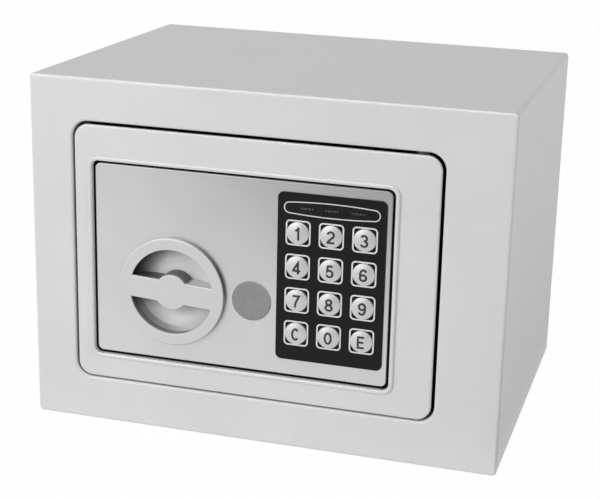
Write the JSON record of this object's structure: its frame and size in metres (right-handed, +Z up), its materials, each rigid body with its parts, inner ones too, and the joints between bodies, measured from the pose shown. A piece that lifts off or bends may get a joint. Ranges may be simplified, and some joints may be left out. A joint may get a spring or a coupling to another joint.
{
  "type": "safe deposit box",
  "caption": "Small steel electronic safe with a hinged flush door, push-button keypad, recessed turning knob, covered override lock and sliding locking bolts.",
  "frame": {"origin": "centre of the cabinet's flat underside", "axes": "+X to the right seen from the front, -Y towards the user, +Z up"},
  "size_m": [0.23, 0.1722, 0.17],
  "materials": {
    "body_paint": "fine textured powder coat, light grey",
    "mat_felt": "needle felt, dark grey",
    "steel": "zinc plated",
    "zinc_plate": "zinc plated sheet",
    "bolt_chrome": "polished",
    "nylon": "plain black nylon",
    "seal_black": "black foam",
    "fascia_silver": "satin silver lacquer",
    "keypad_black": "satin black",
    "lens_black": "smoked, glossy",
    "led_clear": "clear diffused",
    "pcb_green": "solder mask",
    "switch_black": "moulded",
    "cap_grey": "smooth grey",
    "knob_silver": "silver lacquer, satin",
    "key_silver": "metallised, satin",
    "brass": "plain",
    "copper_coil": "enamelled wire",
    "cover_black": "fine spark-eroded grain",
    "button_red": "moulded",
    "battery_wrap": "plain dark sleeve"
  },
  "bodies": {
    "cabinet": {"front_frame": "body_paint", "cabinet_shell": "body_paint", "rear_panel": "body_paint", "floor_mat": "mat_felt", "hinge_brackets": "body_paint", "hinge_pins": "steel", "hinge_washer_lower": "nylon"},
    "door": {"door_plate": "body_paint", "door_seal": "seal_black", "hinge_blocks": "body_paint", "hinge_washer_upper": "nylon", "fascia_gasket": "seal_black", "fascia_panel": "fascia_silver", "keypad_overlay": "keypad_black", "indicator_lens": "lens_black", "indicator_leds": "led_clear", "keypad_pcb": "pcb_green", "tact_switches": "switch_black", "spindle_bush": "nylon", "lock_base_plate": "zinc_plate", "guide_studs": "steel", "lock_barrel": "steel", "lock_nut": "steel", "solenoid_frame": "zinc_plate", "solenoid_coil": "copper_coil", "plunger_spring": "steel", "rear_cover": "cover_black", "cover_screws": "steel", "fascia_screws": "steel", "control_pcb": "pcb_green", "reset_switch": "switch_black", "battery_bay": "cover_black", "battery_cells": "battery_wrap", "battery_contacts": "steel"},
    "knob_body": {"knob": "knob_silver", "knob_spindle": "steel", "drive_crank": "steel"},
    "bolts": {"bolt_carriage": "zinc_plate", "locking_bolts": "bolt_chrome"},
    "key_cover_body": {"key_cover": "cap_grey"},
    "override_lock": {"lock_plug": "brass", "override_cam": "steel"},
    "plunger": {"solenoid_plunger": "steel", "lift_arm": "zinc_plate"},
    "reset_button_body": {"reset_button": "button_red"},
    "battery_lid_body": {"battery_lid": "cover_black"},
    "key_1_body": {"key_1": "key_silver"},
    "key_2_body": {"key_2": "key_silver"},
    "key_3_body": {"key_3": "key_silver"},
    "key_4_body": {"key_4": "key_silver"},
    "key_5_body": {"key_5": "key_silver"},
    "key_6_body": {"key_6": "key_silver"},
    "key_7_body": {"key_7": "key_silver"},
    "key_8_body": {"key_8": "key_silver"},
    "key_9_body": {"key_9": "key_silver"},
    "key_c_body": {"key_c": "key_silver"},
    "key_0_body": {"key_0": "key_silver"},
    "key_e_body": {"key_e": "key_silver"}
  },
  "joints": [
    {"name": "door_hinge", "type": "hinge", "parent": "cabinet", "child": "door", "pos_m": [0.0735, -0.08, 0.0857], "axis": [0, 0, 1], "range_deg": [0, 100]},
    {"name": "knob_turn", "type": "hinge", "parent": "door", "child": "knob_body", "pos_m": [-0.0435, -0.085, 0.0711], "axis": [0, -1, 0], "range_deg": [0, 90]},
    {"name": "bolt_slide", "type": "slide", "parent": "door", "child": "bolts", "axis": [-1, 0, 0], "range_m": [0, 0.012]},
    {"name": "override_key_turn", "type": "hinge", "parent": "door", "child": "override_lock", "pos_m": [-0.0043, -0.085, 0.0709], "axis": [0, 1, 0], "range_deg": [0, 90]},
    {"name": "plunger_lift", "type": "slide", "parent": "door", "child": "plunger", "axis": [0, 0, 1], "range_m": [0, 0.004], "stiffness_N_per_m": 120, "deforming": ["plunger_spring"]},
    {"name": "key_cover_pull", "type": "slide", "parent": "door", "child": "key_cover_body", "axis": [0, -1, 0], "range_m": [0, 0.01]},
    {"name": "battery_lid_pull", "type": "slide", "parent": "door", "child": "battery_lid_body", "axis": [0, 1, 0], "range_m": [0, 0.012]},
    {"name": "reset_press", "type": "slide", "parent": "door", "child": "reset_button_body", "axis": [0, -1, 0], "range_m": [0, 0.0015], "stiffness_N_per_m": 600},
    {"name": "key_1_press", "type": "slide", "parent": "door", "child": "key_1_body", "axis": [0, 1, 0], "range_m": [0, 0.0008], "stiffness_N_per_m": 600},
    {"name": "key_2_press", "type": "slide", "parent": "door", "child": "key_2_body", "axis": [0, 1, 0], "range_m": [0, 0.0008], "stiffness_N_per_m": 600},
    {"name": "key_3_press", "type": "slide", "parent": "door", "child": "key_3_body", "axis": [0, 1, 0], "range_m": [0, 0.0008], "stiffness_N_per_m": 600},
    {"name": "key_4_press", "type": "slide", "parent": "door", "child": "key_4_body", "axis": [0, 1, 0], "range_m": [0, 0.0008], "stiffness_N_per_m": 600},
    {"name": "key_5_press", "type": "slide", "parent": "door", "child": "key_5_body", "axis": [0, 1, 0], "range_m": [0, 0.0008], "stiffness_N_per_m": 600},
    {"name": "key_6_press", "type": "slide", "parent": "door", "child": "key_6_body", "axis": [0, 1, 0], "range_m": [0, 0.0008], "stiffness_N_per_m": 600},
    {"name": "key_7_press", "type": "slide", "parent": "door", "child": "key_7_body", "axis": [0, 1, 0], "range_m": [0, 0.0008], "stiffness_N_per_m": 600},
    {"name": "key_8_press", "type": "slide", "parent": "door", "child": "key_8_body", "axis": [0, 1, 0], "range_m": [0, 0.0008], "stiffness_N_per_m": 600},
    {"name": "key_9_press", "type": "slide", "parent": "door", "child": "key_9_body", "axis": [0, 1, 0], "range_m": [0, 0.0008], "stiffness_N_per_m": 600},
    {"name": "key_c_press", "type": "slide", "parent": "door", "child": "key_c_body", "axis": [0, 1, 0], "range_m": [0, 0.0008], "stiffness_N_per_m": 600},
    {"name": "key_0_press", "type": "slide", "parent": "door", "child": "key_0_body", "axis": [0, 1, 0], "range_m": [0, 0.0008], "stiffness_N_per_m": 600},
    {"name": "key_e_press", "type": "slide", "parent": "door", "child": "key_e_body", "axis": [0, 1, 0], "range_m": [0, 0.0008], "stiffness_N_per_m": 600}
  ],
  "couplings": [
    {"joint": "knob_turn", "follows": "bolt_slide", "rad_per_m": 130.9},
    {"joint": "override_key_turn", "follows": "plunger_lift", "rad_per_m": 392.7}
  ]
}
